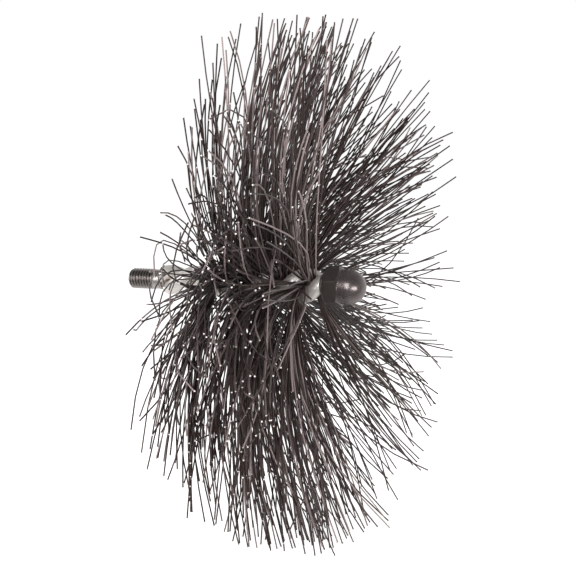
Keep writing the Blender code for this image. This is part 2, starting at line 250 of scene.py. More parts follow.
# The photograph's view: from the side of the brush, turned towards the nut
VIEW_AZIMUTH = math.radians(24.0)
VIEW_ELEVATION = math.radians(5.4)
VIEW_DISTANCE = 0.625
VIEW_LENS_MM = 83.125
PHOTO_SIDE_PX = 576
VIEW_SHIFT_X = 40.5 / PHOTO_SIDE_PX
VIEW_SHIFT_Y = -5.25 / PHOTO_SIDE_PX
VIEW_AIM_OFFSET = -9.0 * MM

BRIGHT_STEEL = "#E6E0DB"
ZINC_STEEL = "#B9B3B0"
WELD_GREY = "#857D77"
BLACKENED = "#736B6A"
# Painted shade: the nut's flats are a darker copy of its steel
SHADED_FLAT_STEEL = "#4C4543"
# Painted highlight: the nut's front chamfer is paler than its flats
CHAMFER_HIGHLIGHT = "#726A68"
NYLON_DARK = "#22120D"
# Painted highlight: the colour of the palest, lit filaments
NYLON_LIT_HIGHLIGHT = "#A19190"
# Painted highlight: the near-white colour of the cut ends
CUT_END_HIGHLIGHT = "#D4CDCB"
# Painted shade in the roots of the thread
GROOVE_PAINTED_SHADE = (0.14, 0.125, 0.12, 1.0)
WHITE = (1.0, 1.0, 1.0, 1.0)
NYLON_MIDDLE_SHARE = 0.14

# Grain of the metals: its depth, and how far it takes their roughness down and up
GRAIN_DEPTH = 0.05 * MM
SMOOTHER_BY = 0.05
ROUGHER_BY = 0.08

# The floor, and how bright metal mirrors it by its distance behind the brush (m)
FLOOR_RADIUS = 6.0
FLOOR_WHITE = "#F2F1EF"
FLOOR_PALEST = "#F6F5F3"
FLOOR_LIFT = 0.7
FLOOR_MIRRORED_NEAR = 0.25
FLOOR_MIRRORED_FAR = 1.0
FLOOR_DIM_TO = -0.11
FLOOR_BRIGHT_FROM = 0.0


def linear(colour):
    """An sRGB hex value as linear red, green, blue and alpha."""
    parts = [int(colour[i:i + 2], 16) / 255 for i in (1, 3, 5)]
    return (*[p / 12.92 if p <= 0.04045 else ((p + 0.055) / 1.055) ** 2.4 for p in parts], 1.0)


def shaded(colour, share):
    return (*[part * share for part in colour[:3]], 1.0)


def clamped(share):
    return min(max(share, 0.0), 1.0)


def eased(share):
    """A share from 0 to 1 that starts and stops gently."""
    share = clamped(share)
    return share * share * (3 - 2 * share)


def add_node(tree, kind, settings=None, inputs=None, links=None, stops=()):
    """Adds a node with its settings, its own values, what feeds it, and a colour ramp's rising stops."""
    node = tree.nodes.new(kind)
    for name, value in (settings or {}).items():
        setattr(node, name, value)
    for name, value in (inputs or {}).items():
        node.inputs[name].default_value = value
    for name, source in (links or {}).items():
        tree.links.new(source, node.inputs[name])
    for i, (place, colour) in enumerate(stops):
        ramp = node.color_ramp.elements
        element = ramp[i] if i < len(ramp) else ramp.new(place)
        element.position = place
        element.color = colour
    return node


def new_material(name, metallic, roughness):
    material = bpy.data.materials.new(name)
    material.use_nodes = True
    shader = material.node_tree.nodes["Principled BSDF"]
    shader.inputs["Metallic"].default_value = metallic
    shader.inputs["Roughness"].default_value = roughness
    return material, material.node_tree, shader


def mottled_metal(name, colour, darkest, roughness, grain_scale, stretch, bump, bare=1.0, grooved=False):
    """Metal whose tone and gloss vary with a grain of a set size, drawn out along the core.
    A film can hide some of the bare metal, and painted shade can darken the bottom of its grooves."""
    material, tree, shader = new_material(name, bare, roughness)
    place = add_node(tree, "ShaderNodeTexCoord")
    grain_place = add_node(tree, "ShaderNodeMapping", inputs={"Scale": (stretch, 1.0, 1.0)},
                           links={"Vector": place.outputs["Object"]})
    grain = add_node(tree, "ShaderNodeTexNoise", inputs={"Scale": grain_scale, "Detail": 5.0},
                     links={"Vector": grain_place.outputs["Vector"]})
    tone = add_node(tree, "ShaderNodeValToRGB", links={"Fac": grain.outputs["Fac"]},
                    stops=[(0.3, shaded(colour, darkest)), (0.7, tuple(colour))])
    surface = tone.outputs["Color"]
    if grooved:
        height = add_node(tree, "ShaderNodeAttribute",
                          {"attribute_name": "height", "attribute_type": "GEOMETRY"})
        # Painted shade: the thread's roots are darkened, and the crests keep their colour
        groove_shade = add_node(tree, "ShaderNodeValToRGB", links={"Fac": height.outputs["Fac"]},
                        stops=[(0.12, GROOVE_PAINTED_SHADE), (0.6, WHITE)])
        shade_in_grooves = add_node(tree, "ShaderNodeVectorMath", {"operation": "MULTIPLY"},
                           links={0: surface, 1: groove_shade.outputs["Color"]})
        surface = shade_in_grooves.outputs["Vector"]
    tree.links.new(surface, shader.inputs["Base Color"])
    gloss = add_node(tree, "ShaderNodeMapRange",
                     inputs={"To Min": roughness - SMOOTHER_BY, "To Max": roughness + ROUGHER_BY},
                     links={"Value": grain.outputs["Fac"]})
    tree.links.new(gloss.outputs["Result"], shader.inputs["Roughness"])
    relief = add_node(tree, "ShaderNodeBump", inputs={"Strength": bump, "Distance": GRAIN_DEPTH},
                      links={"Height": grain.outputs["Fac"]})
    tree.links.new(relief.outputs["Normal"], shader.inputs["Normal"])
    return material


def nylon_monofilament(dark, lit_highlight):
    """Extruded nylon: dark brown with a satin gloss, each filament of its own tone; the palest tones are
    painted highlights.
    """
    material, tree, shader = new_material("dark_brown_nylon_monofilament", 0.0, 0.3)
    # A worn, dusty surface mirrors less than clean nylon
    shader.inputs["Specular IOR Level"].default_value = 0.3
    tone = add_node(tree, "ShaderNodeAttribute", {"attribute_name": "tone", "attribute_type": "GEOMETRY"})
    middle = [dark[i] + NYLON_MIDDLE_SHARE * (lit_highlight[i] - dark[i]) for i in range(3)] + [1.0]
    # Tones up to 0.6 vary at random through the dark browns; above it they rise to the pale colour, a painted
    # highlight of lit strands
    colour = add_node(tree, "ShaderNodeValToRGB", links={"Fac": tone.outputs["Fac"]},
                      stops=[(0.0, tuple(dark)), (0.6, middle), (1.0, tuple(lit_highlight))])
    tree.links.new(colour.outputs["Color"], shader.inputs["Base Color"])
    place = add_node(tree, "ShaderNodeTexCoord")
    # Extrusion marks about 1 mm apart, coarser than real ones so that they show
    marks = add_node(tree, "ShaderNodeTexNoise", inputs={"Scale": 900.0, "Detail": 2.0},
                     links={"Vector": place.outputs["Object"]})
    gloss = add_node(tree, "ShaderNodeMapRange", inputs={"To Min": 0.22, "To Max": 0.4},
                     links={"Value": marks.outputs["Fac"]})
    tree.links.new(gloss.outputs["Result"], shader.inputs["Roughness"])
    return material


def painted_end_highlight(lit_highlight):
    """The sawn ends of the filaments, painted near white as highlights."""
    material, tree, shader = new_material("cut_end_painted_highlight", 0.0, 0.5)
    place = add_node(tree, "ShaderNodeTexCoord")
    end_speckle = add_node(tree, "ShaderNodeTexNoise", inputs={"Scale": 400.0},
                     links={"Vector": place.outputs["Object"]})
    tone = add_node(tree, "ShaderNodeValToRGB", links={"Fac": end_speckle.outputs["Fac"]},
                    stops=[(0.3, tuple(lit_highlight)), (0.5, linear(CUT_END_HIGHLIGHT))])
    tree.links.new(tone.outputs["Color"], shader.inputs["Base Color"])
    return material


def studio_white(ahead):
    """A matt pale floor, lifted to white for the camera. It keeps the object's shadow.
    For metal it glows instead, bright under and behind the brush and dim on the camera's side: a painted
    reflection."""
    material, tree, shader = new_material("studio_white_floor", 0.0, 0.9)
    place = add_node(tree, "ShaderNodeTexCoord")
    cloud = add_node(tree, "ShaderNodeTexNoise", inputs={"Scale": 2.0},
                     links={"Vector": place.outputs["Object"]})
    tone = add_node(tree, "ShaderNodeValToRGB", links={"Fac": cloud.outputs["Fac"]},
                    stops=[(0.0, linear(FLOOR_WHITE)), (1.0, linear(FLOOR_PALEST))])
    tree.links.new(tone.outputs["Color"], shader.inputs["Base Color"])
    path = add_node(tree, "ShaderNodeLightPath")
    lift = add_node(tree, "ShaderNodeMath", {"operation": "MULTIPLY"}, inputs={1: FLOOR_LIFT},
                    links={0: path.outputs["Is Camera Ray"]})
    glow = add_node(tree, "ShaderNodeEmission", links={"Strength": lift.outputs["Value"]})
    both = add_node(tree, "ShaderNodeAddShader",
                    links={0: shader.outputs["BSDF"], 1: glow.outputs["Emission"]})
    behind = add_node(tree, "ShaderNodeVectorMath", {"operation": "DOT_PRODUCT"}, inputs={1: ahead},
                      links={0: place.outputs["Object"]})
    # Painted reflection: glow for glossy rays, dimmer towards the camera's side
    mirrored = add_node(tree, "ShaderNodeMapRange",
                        inputs={"From Min": FLOOR_DIM_TO, "From Max": FLOOR_BRIGHT_FROM,
                                "To Min": FLOOR_MIRRORED_NEAR, "To Max": FLOOR_MIRRORED_FAR},
                        links={"Value": behind.outputs["Value"]})
    sheen = add_node(tree, "ShaderNodeEmission", links={"Strength": mirrored.outputs["Result"]})
    surface = add_node(tree, "ShaderNodeMixShader",
                       links={0: path.outputs["Is Glossy Ray"], 1: both.outputs["Shader"],
                              2: sheen.outputs["Emission"]})
    tree.links.new(surface.outputs["Shader"], tree.nodes["Material Output"].inputs["Surface"])
    return material


def deselect_all():
    for other in bpy.context.view_layer.objects:
        other.select_set(False)


def make_active(obj):
    deselect_all()
    obj.select_set(True)
    bpy.context.view_layer.objects.active = obj


def apply_modifiers(obj):
    make_active(obj)
    for name in [modifier.name for modifier in obj.modifiers]:
        bpy.ops.object.modifier_apply(modifier=name)


def place_in_mesh(obj):
    make_active(obj)
    bpy.ops.object.transform_apply(location=True, rotation=True, scale=True)


def weld_and_face_out(obj, distance=0.002 * MM):
    make_active(obj)
    bpy.ops.object.mode_set(mode="EDIT")
    bpy.ops.mesh.select_all(action="SELECT")
    bpy.ops.mesh.remove_doubles(threshold=distance)
    bpy.ops.mesh.normals_make_consistent(inside=False)
    bpy.ops.object.mode_set(mode="OBJECT")


def saw_off(obj, along, side):
    """Saws the piece square to the core at a place along it, and keeps the far side from the sign given."""
    make_active(obj)
    bpy.ops.object.mode_set(mode="EDIT")
    bpy.ops.mesh.select_all(action="SELECT")
    bpy.ops.mesh.bisect(plane_co=(along, 0.0, AXIS_Z), plane_no=(side, 0.0, 0.0), use_fill=True,
                        clear_outer=True)
    bpy.ops.object.mode_set(mode="OBJECT")


def finish_piece(obj, material, body, nodes=(), angle=35.0):
    if not obj.data.materials:
        obj.data.materials.append(material)
    make_active(obj)
    bpy.ops.object.shade_smooth_by_angle(angle=math.radians(angle))
    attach(obj, body)
    if nodes:
        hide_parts(*nodes)
    return obj


def new_object(name, vertices, edges=(), faces=()):
    mesh = bpy.data.meshes.new(name)
    mesh.from_pydata([tuple(v) for v in vertices], [tuple(e) for e in edges], [tuple(f) for f in faces])
    obj = bpy.data.objects.new(name, mesh)
    bpy.context.scene.collection.objects.link(obj)
    return obj


def cut_in_rings(cylinder, axis, cuts):
    """Cuts the side of a cylinder, one unit long on the axis given (0 to 2), into rings."""
    bpy.ops.object.mode_set(mode="EDIT")
    work = bmesh.from_edit_mesh(cylinder.data)
    bpy.ops.mesh.select_all(action="DESELECT")
    for edge in work.edges:
        edge.select_set(abs(edge.verts[0].co[axis] - edge.verts[1].co[axis]) > 0.5)
    bmesh.update_edit_mesh(cylinder.data)
    bpy.ops.mesh.subdivide(number_cuts=cuts)
    bpy.ops.object.mode_set(mode="OBJECT")


def lathed(name, profile, steps, merge, lead=0.0, turns=1):
    """Turns a profile of (place along X, radius) round the X axis, and moves it by a lead in each turn."""
    obj = new_object(name, [(along, 0.0, radius) for along, radius in profile],
                     [(i, i + 1) for i in range(len(profile) - 1)])
    lathe = obj.modifiers.new("lathe", "SCREW")
    lathe.axis = "X"
    lathe.angle = math.tau
    lathe.screw_offset = lead
    lathe.iterations = turns
    lathe.steps = steps
    lathe.render_steps = steps
    lathe.use_merge_vertices = True
    lathe.merge_threshold = merge
    apply_modifiers(obj)
    return obj


def turned(name, profile, steps):
    """A closed piece, turned round the core's axis."""
    obj = lathed(name, profile, steps, 0.001 * MM)
    obj.location.z = AXIS_Z
    place_in_mesh(obj)
    weld_and_face_out(obj)
    return obj


def twist_angle(along):
    return TWIST_PHASE - math.tau * along / bpy.context.scene.flue_brush.twist_pitch


def helix_radius(along):
    share = eased((abs(along) - ZONE_HALF) / PINCH_EASE_LENGTH)
    return PINCHED_HELIX_RADIUS + share * (BARE_HELIX_RADIUS - PINCHED_HELIX_RADIUS)


class FlueBrushSettings(bpy.types.PropertyGroup):
    """Sizes and finishes that a user would change."""

    wire_colour: bpy.props.FloatVectorProperty(
        name="Wire colour", description="Drawn steel of the core wires", default=linear(BRIGHT_STEEL), size=4,
        min=0.0, max=1.0, subtype="COLOR")
    stud_colour: bpy.props.FloatVectorProperty(
        name="Stud colour", description="Zinc plating of the studs", default=linear(ZINC_STEEL), size=4,
        min=0.0, max=1.0, subtype="COLOR")
    weld_colour: bpy.props.FloatVectorProperty(
        name="Weld colour", description="Brushed weld metal", default=linear(WELD_GREY), size=4,
        min=0.0, max=1.0, subtype="COLOR")
    nut_colour: bpy.props.FloatVectorProperty(
        name="Nut colour", description="Blackened steel of the nut's dome", default=linear(BLACKENED), size=4,
        min=0.0, max=1.0, subtype="COLOR")
    # The flats' colour is darker than the dome's as painted shade
    shaded_flat_colour: bpy.props.FloatVectorProperty(
        name="Flat colour", description="Blackened steel of the nut's flats", default=linear(SHADED_FLAT_STEEL),
        size=4, min=0.0, max=1.0, subtype="COLOR")
    nylon_colour: bpy.props.FloatVectorProperty(
        name="Nylon colour", description="Darkest filaments", default=linear(NYLON_DARK), size=4,
        min=0.0, max=1.0, subtype="COLOR")
    # The palest filaments' colour is a painted highlight of lit strands
    lit_highlight_nylon_colour: bpy.props.FloatVectorProperty(
        name="Pale nylon colour", description="Palest filaments", default=linear(NYLON_LIT_HIGHLIGHT), size=4,
        min=0.0, max=1.0, subtype="COLOR")
    twist_pitch: bpy.props.FloatProperty(
        name="Twist pitch", description="Length of one full turn of the two wires", default=28.2 * MM,
        min=0.005, unit="LENGTH")
    wire_diameter: bpy.props.FloatProperty(
        name="Wire diameter", description="Thickness of each core wire", default=7.0 * MM, min=0.001,
        unit="LENGTH")
    bristle_diameter: bpy.props.FloatProperty(
        name="Bristle diameter", description="Thickness of one nylon filament", default=0.66 * MM,
        min=0.0002, unit="LENGTH")
    bristle_count: bpy.props.IntProperty(
        name="Bristle count", description="Number of filament ends that stand out of the core", default=1080,
        min=150, max=2000)
    wander: bpy.props.FloatProperty(
        name="Wander", description="How far tufts stray from their place round the head",
        default=math.radians(8.0), min=0.0, subtype="ANGLE")
    bend: bpy.props.FloatProperty(
        name="Bend", description="How far a tuft bows at its middle", default=4.0 * MM, min=0.0,
        unit="LENGTH")
    nut_across_flats: bpy.props.FloatProperty(
        name="Nut across flats", description="Width of the cap nut's hexagon", default=17.0 * MM, min=0.005,
        unit="LENGTH")
    nut_dome_diameter: bpy.props.FloatProperty(
        name="Nut dome diameter", description="Width of the cap nut's dome", default=2 * NUT_DOME_RADIUS,
        min=0.005, unit="LENGTH")


class FLUE_BRUSH_OT_core_wires(bpy.types.Operator):
    """Twist the two drawn wires of the core"""

    bl_idname = "flue_brush.core_wires"
    bl_label = "Core Wires"

    def execute(self, context):
        settings = context.scene.flue_brush
        # Zinc-coated drawn wire: pale and soft, with draw marks along it that streak its reflections
        steel = mottled_metal("zinc_coated_drawn_wire", settings.wire_colour, darkest=0.85, roughness=0.36,
                              grain_scale=900.0, stretch=0.12, bump=0.1, bare=0.62)
        for letter, half_turn in (("a", 0.0), ("b", math.pi)):
            bpy.ops.curve.primitive_nurbs_path_add()
            wire = context.object
            wire.name = f"drawn_wire_{letter}"
            curve = wire.data
            curve.splines.clear()
            curve.bevel_depth = settings.wire_diameter / 2
            curve.bevel_resolution = WIRE_BEVEL_RESOLUTION
            curve.use_fill_caps = True
            start, end = REAR_WIRE_END - WIRE_OVERRUN, FRONT_WIRE_END + WIRE_OVERRUN
            count = round(WIRE_STEPS_PER_TURN * (end - start) / settings.twist_pitch)
            spline = curve.splines.new("POLY")
            spline.points.add(count)
            for i, point in enumerate(spline.points):
                along = start + (end - start) * i / count
                angle = twist_angle(along) + half_turn
                radius = helix_radius(along)
                point.co = (ZONE_X + along, radius * math.cos(angle), AXIS_Z + radius * math.sin(angle), 1.0)
            wire.location = (0.0, 0.0, 0.0)
            make_active(wire)
            bpy.ops.object.convert(target="MESH")
            wire = context.object
            weld_and_face_out(wire)
            saw_off(wire, ZONE_X + REAR_WIRE_END, -1.0)
            saw_off(wire, ZONE_X + FRONT_WIRE_END, 1.0)
            finish_piece(wire, steel, "core", [f"wire_strand_{letter}"])
        return {"FINISHED"}


def threaded_rod(name, start, end, thread_end, shank_radius, chamfer):
    """A right-hand thread from start to thread_end along the core, then a plain shank to end."""
    # A known fault: for the front stud, whose end lies behind its start, this is below 1, and Blender makes
    # one turn of it. What is left of that stud is a scrap inside the nut.
    turns = math.ceil((end - start) / THREAD_PITCH) + 2
    depth = STUD_RADIUS - THREAD_ROOT_RADIUS
    profile = [(THREAD_PITCH * share, THREAD_ROOT_RADIUS + depth * height)
               for share, height in THREAD_PROFILE]
    profile.append((THREAD_PITCH, THREAD_ROOT_RADIUS))
    rod = lathed(name, profile, THREAD_STEPS, 0.01 * MM, THREAD_PITCH, turns)
    low = min(start, end) - THREAD_OVERRUN
    forward = 1.0 if end > start else -1.0
    heights = []
    for vert in rod.data.vertices:
        along = low + vert.co.x
        radius = math.hypot(vert.co.y, vert.co.z)
        turn = math.atan2(vert.co.z, vert.co.y)
        from_tip = (along - start) * forward
        runout = clamped((from_tip - abs(thread_end - start) + THREAD_PITCH) / THREAD_PITCH)
        radius += (shank_radius - radius) * eased(runout)
        heights.append(max((radius - THREAD_ROOT_RADIUS) / depth, float(runout > 0.5)))
        radius = min(radius, STUD_RADIUS - chamfer + max(from_tip, 0.0))
        vert.co = Vector((along, radius * math.cos(turn), AXIS_Z + radius * math.sin(turn)))
    rod.data.attributes.new("height", "FLOAT", "POINT").data.foreach_set("value", heights)
    weld_and_face_out(rod, 0.004 * MM)
    saw_off(rod, min(start, end), -1.0)
    saw_off(rod, max(start, end), 1.0)
    return rod


class FLUE_BRUSH_OT_studs(bpy.types.Operator):
    """Cut the threads of the rod stud and of the stud inside the nut"""

    bl_idname = "flue_brush.studs"
    bl_label = "Threaded Studs"

    def execute(self, context):
        # Zinc-plated steel with a rolled thread: bright crests, and duller roots darkened by painted shade
        zinc = mottled_metal("zinc_plated_steel", context.scene.flue_brush.stud_colour, darkest=0.88,
                             roughness=0.3, grain_scale=1400.0, stretch=0.5, bump=0.03, grooved=True)
        start, end = STUD_BOX[0].x, STUD_BOX[1].x
        rear = threaded_rod("threaded_rod_stud", start, end, start + REAR_THREAD_LENGTH, REAR_SHANK_RADIUS,
                            STUD_CHAMFER)
        finish_piece(rear, zinc, "core", ["rear_stud"], angle=28.0)
        low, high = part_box("front_stud")
        front = threaded_rod("threaded_nut_stud", high.x, low.x, low.x + FRONT_SHANK_LENGTH, STUD_RADIUS,
                             STUD_CHAMFER)
        finish_piece(front, zinc, "core", ["front_stud"], angle=28.0)
        return {"FINISHED"}


def pair_outline(turn, half, radius):
    """How far from the axis the outline of two wires lies, at an angle from the line through them."""
    across, along = abs(math.sin(turn)), abs(math.cos(turn))
    if across > 1e-9 and radius / across * along <= half:
        return radius / across
    return half * along + math.sqrt(max(radius ** 2 - (half * across) ** 2, 0.0))


class FLUE_BRUSH_OT_welds(bpy.types.Operator):
    """Lay the weld beads that join the studs to the wires"""

    bl_idname = "flue_brush.welds"
    bl_label = "Weld Beads"

    def execute(self, context):
        # Weld metal, wire-brushed: dull grey with low ripples
        settings = context.scene.flue_brush
        weld = mottled_metal("brushed_weld_metal", settings.weld_colour, darkest=0.7, roughness=0.42,
                             grain_scale=700.0, stretch=1.0, bump=0.15, bare=0.8)
        self.rear_bead(weld, settings.wire_diameter / 2)
        self.front_bead(weld)
        return {"FINISHED"}

    def rear_bead(self, weld, wire_radius):
        """Runs from a ring on the shank out to the outline of both wires, and dies away in their valleys."""
        start, end = REAR_WIRE_END - WELD_BEHIND, REAR_WIRE_END + WELD_AHEAD
        deselect_all()
        bpy.ops.mesh.primitive_cylinder_add(vertices=WELD_STEPS, radius=1.0, depth=1.0,
                                            rotation=(0.0, math.pi / 2, 0.0))
        bead = bpy.context.object
        bead.name = "rear_weld_bead"
        place_in_mesh(bead)
        cut_in_rings(bead, 0, WELD_CUTS)
        for vert in bead.data.vertices:
            share = vert.co.x + 0.5
            along = start + (end - start) * share
            turn = math.atan2(vert.co.z, vert.co.y)
            fade = max((share - WELD_FADE_FROM) / (1.0 - WELD_FADE_FROM), 0.0)
            skin = wire_radius + (WELD_SKIN_MM - WELD_SINK_MM * fade ** WELD_SINK_POWER) * MM
            outline = pair_outline(turn - twist_angle(max(along, REAR_WIRE_END)), BARE_HELIX_RADIUS, skin)
            radius = WELD_FOOT_RADIUS + (outline - WELD_FOOT_RADIUS) * eased(share / WELD_RISE_SHARE)
            ripple = WELD_FINE_MM * math.sin(9 * turn + 2.0 * along / MM)
            ripple += WELD_COARSE_MM * math.sin(5 * turn + 1.3)
            radius += ripple * (1 - fade) * MM * min(share / WELD_EDGE_SHARE, 1.0)
            vert.co = (ZONE_X + along, radius * math.cos(turn), AXIS_Z + radius * math.sin(turn))
        weld_and_face_out(bead)
        finish_piece(bead, weld, "core", ["rear_weld"], angle=50.0)

    def front_bead(self, weld):
        """A low ring between the wires' ends and the nut's seat."""
        low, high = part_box("front_weld")
        length = high.x - low.x
        outer, inner = (high.z - low.z) / 2, STUD_RADIUS + FRONT_WELD_GAP
        drop = outer - inner - FRONT_WELD_GAP
        profile = [(low.x, inner), (low.x, outer)]
        for i in range(1, FRONT_WELD_STEPS + 1):
            share = i / FRONT_WELD_STEPS
            profile.append((low.x + length * share, outer - drop * share ** FRONT_WELD_POWER))
        profile += [(high.x, inner), (low.x, inner)]
        bead = turned("front_weld_bead", profile, WELD_STEPS)
        for vert in bead.data.vertices:
            y, z = vert.co.y, vert.co.z - AXIS_Z
            radius, turn = math.hypot(y, z), math.atan2(z, y)
            if radius > inner + FRONT_RIPPLE_FROM:
                radius = min(radius + FRONT_RIPPLE * math.sin(FRONT_RIPPLE_COUNT * turn), outer)
            vert.co.y, vert.co.z = radius * math.cos(turn), AXIS_Z + radius * math.sin(turn)
        finish_piece(bead, weld, "core", ["front_weld"], angle=50.0)


class FLUE_BRUSH_OT_cap_nut(bpy.types.Operator):
    """Turn the domed cap nut and mill its hexagon"""

    bl_idname = "flue_brush.cap_nut"
    bl_label = "Cap Nut"

    def execute(self, context):
        settings = context.scene.flue_brush
        seat, tip = NUT_BOX[0].x, NUT_BOX[1].x
        front = seat + NUT_HEX_HEIGHT
        flat = settings.nut_across_flats / 2
        corner = flat / math.cos(math.pi / 6)
        rim = flat * NUT_CHAMFER_SHARE
        dome = settings.nut_dome_diameter / 2
        centre = tip - dome
        bottom = seat + NUT_BORE_DEPTH
        depth = (corner - rim) * math.tan(NUT_CHAMFER_ANGLE)
        steps = [math.pi / 2 * i / NUT_ARC_STEPS for i in range(NUT_ARC_STEPS)]
        arc = [(centre + dome * math.sin(step), dome * math.cos(step)) for step in steps]
        nut = turned("domed_cap_nut", [
            (bottom, 0.0), (bottom, NUT_BORE_RADIUS), (seat + NUT_COUNTERSINK, NUT_BORE_RADIUS),
            (seat, NUT_BORE_RADIUS + NUT_COUNTERSINK), (seat, rim), (seat + depth, corner),
            (front - depth, corner), (front, rim), (front, dome + NUT_DOME_FOOT),
            (front + NUT_DOME_FOOT, dome), *arc, (tip, 0.0)], NUT_STEPS)
        grid = math.tau / NUT_STEPS
        corner_turn = self.corner_angle()
        offset = (corner_turn - math.pi / 2 + grid / 2) % grid - grid / 2
        blunt = corner - NUT_CORNER_BREAK
        for vert in nut.data.vertices:
            y, z = vert.co.y, vert.co.z - AXIS_Z
            radius, turn, along = math.hypot(y, z), math.atan2(z, y) + offset, vert.co.x
            if radius > corner - 0.01 * MM:
                from_flat = (turn - corner_turn) % (math.pi / 3) - math.pi / 6
                radius = min(flat / math.cos(from_flat), blunt)
                cut = (radius - rim) * math.tan(NUT_CHAMFER_ANGLE)
                along = seat + cut if along < seat + NUT_HEX_HEIGHT / 2 else front - cut
            vert.co = (along, radius * math.cos(turn), AXIS_Z + radius * math.sin(turn))
        weld_and_face_out(nut)
        # Blackened steel: hot-dipped in oil, so it is dark with a smooth, glossy skin
        black = mottled_metal("oil_blackened_steel", settings.nut_colour, darkest=0.98, roughness=0.24,
                              grain_scale=500.0, stretch=1.0, bump=0.002, bare=0.8)
        # The flats: a darker, duller copy of the nut's steel, whose darker colour is painted shade
        shaded_flats = mottled_metal("flat_steel_painted_shade", settings.shaded_flat_colour, darkest=0.88, roughness=0.4,
                             grain_scale=1500.0, stretch=1.0, bump=0.03, bare=0.55)
        # The front chamfer: a paler, bare copy of the nut's steel, as a painted highlight along it
        chamfer_highlight = mottled_metal("chamfer_painted_highlight", linear(CHAMFER_HIGHLIGHT), darkest=0.7, roughness=0.3,
                             grain_scale=1500.0, stretch=1.0, bump=0.05)
        for finish in (black, shaded_flats, chamfer_highlight):
            nut.data.materials.append(finish)
        for face in nut.data.polygons:
            y, z = face.center.y, face.center.z - AXIS_Z
            radius = math.hypot(y, z)
            if radius < rim * 0.99 or face.center.x > front - 0.01 * MM:
                continue
            chamfer = abs(face.normal.x) > 0.3 and face.center.x > seat + NUT_HEX_HEIGHT / 2
            face.material_index = 2 if chamfer else 1
        finish_piece(nut, black, "cap_nut", ["cap_nut"], angle=10.0)
        return {"FINISHED"}

    def corner_angle(self):
        """The direction of one of the frame nut's corners."""
        points = [v.co for v in frame["nodes"]["cap_nut"].data.vertices]
        widest = max(points, key=lambda p: math.hypot(p.y, p.z - AXIS_Z))
        return math.atan2(widest.z - AXIS_Z, widest.y)


def by_azimuth(angle):
    """How far the tips lie ahead and how dense the head is, in a direction round the core."""
    ahead, density = 0.0, PLAIN_DENSITY
    for middle, half_width, crowd_ahead, crowd_density in BRISTLE_CROWDS:
        off = (angle - math.radians(middle) + math.pi) % math.tau - math.pi
        share = np.exp(-(off / math.radians(half_width)) ** 2)
        ahead = ahead + share * crowd_ahead * MM
        density = density + share * crowd_density
    return ahead, density


def usual_tip(root, azimuth=None):
    """Where the tip of a bristle usually lies along the core, from its root and the way it points."""
    tip = HEAD_LEAN + root * HEAD_FAN
    if azimuth is not None:
        tip += by_azimuth(azimuth)[0]
    return tip


def parted(tip, angle):
    """Moves a tip out of the head's parting, to the side it is nearer."""
    off = tip - PARTING_MIDDLE
    if math.cos(angle - PARTING_AZIMUTH) < math.cos(PARTING_HALF_ANGLE) or abs(off) > PARTING_HALF:
        return tip
    return PARTING_MIDDLE + math.copysign(PARTING_HALF + abs(off) / 3, off)


def band_angle(along, pitch):
    return TWIST_PHASE + math.pi / 2 - math.tau * along / pitch


def root_for(tip_along, azimuth, pitch):
    """The place in the twist, among those that face an azimuth, whose bristles usually reach that tip."""
    found = []
    for half_turns in range(-12, 13):
        along = (TWIST_PHASE + math.pi / 2 + math.pi * half_turns - azimuth) * pitch / math.tau
        if abs(along) <= ZONE_HALF:
            found.append(along)
    return min(found, key=lambda along: abs(usual_tip(along) - tip_along))


def filament_pattern(diameter):
    """One filament, modelled once: a rod whose height is its share of the length, with a burred end."""
    deselect_all()
    bpy.ops.mesh.primitive_cylinder_add(vertices=FILAMENT_SIDES, radius=diameter / 2, depth=1.0,
                                        location=(0.0, 0.0, 0.5))
    rod = bpy.context.object
    place_in_mesh(rod)
    last = len(FILAMENT_SHARES) - 1
    cut_in_rings(rod, 2, last - 1)
    points = np.array([v.co[:] for v in rod.data.vertices])
    faces = [tuple(p.vertices) for p in rod.data.polygons]
    bpy.data.objects.remove(rod, do_unlink=True)
    station = np.round(points[:, 2] * last).astype(int)
    swell = np.interp(station, (0, last - 1, last), FILAMENT_THICKNESS)
    cut_faces = [i for i, face in enumerate(faces) if station[list(face)].min() == last]
    return points[:, :2] * swell[:, None], station, faces, cut_faces


def reach_of(root, tip, shortening):
    """How far from the core a tip lies, from the filament's length and its lean."""
    return math.sqrt(BRISTLE_LENGTH ** 2 - (tip - root) ** 2) * (1.0 - shortening)


def faces_viewer(angle):
    return math.cos(angle - VIEWER_AZIMUTH) > VIEWER_COSINE


def faces_up_and_near(angle):
    return math.cos(angle - UP_NEAR_AZIMUTH) > UP_NEAR_COSINE


def outline_filaments(settings, chance):
    """The full-length filaments of the outline, rooted where the twist faces them."""
    azimuths, nearest, furthest = zip(*OUTLINE_PROFILE)
    plan = []
    for i in range(OUTLINE_COUNT):
        angle = math.tau * i / OUTLINE_COUNT + chance.normal(0.0, OUTLINE_WANDER * settings.wander)
        root_angle = angle + chance.normal(0.0, OUTLINE_ROOT_WANDER * settings.wander)
        direction = (math.degrees(angle) + 180.0) % 360.0 - 180.0
        limits = [np.interp(direction, azimuths, places) for places in (nearest, furthest)]
        tip = chance.uniform(*limits) * MM
        root = root_for(tip, root_angle, settings.twist_pitch)
        bow = chance.normal(0.0, OUTLINE_BOW * settings.bend, 2)
        # A pale tone is a painted highlight, given only to filaments facing the camera or up and near
        lit_highlight = chance.random() < OUTLINE_HIGHLIGHT_SHARE and (faces_viewer(angle) or faces_up_and_near(angle))
        tone = chance.uniform(*(OUTLINE_HIGHLIGHT_TONES if lit_highlight else OUTLINE_DARK_TONES))
        plan.append((root, root_angle, tip, angle, TIP_REACH, bow, chance.random(), tone))
    return plan


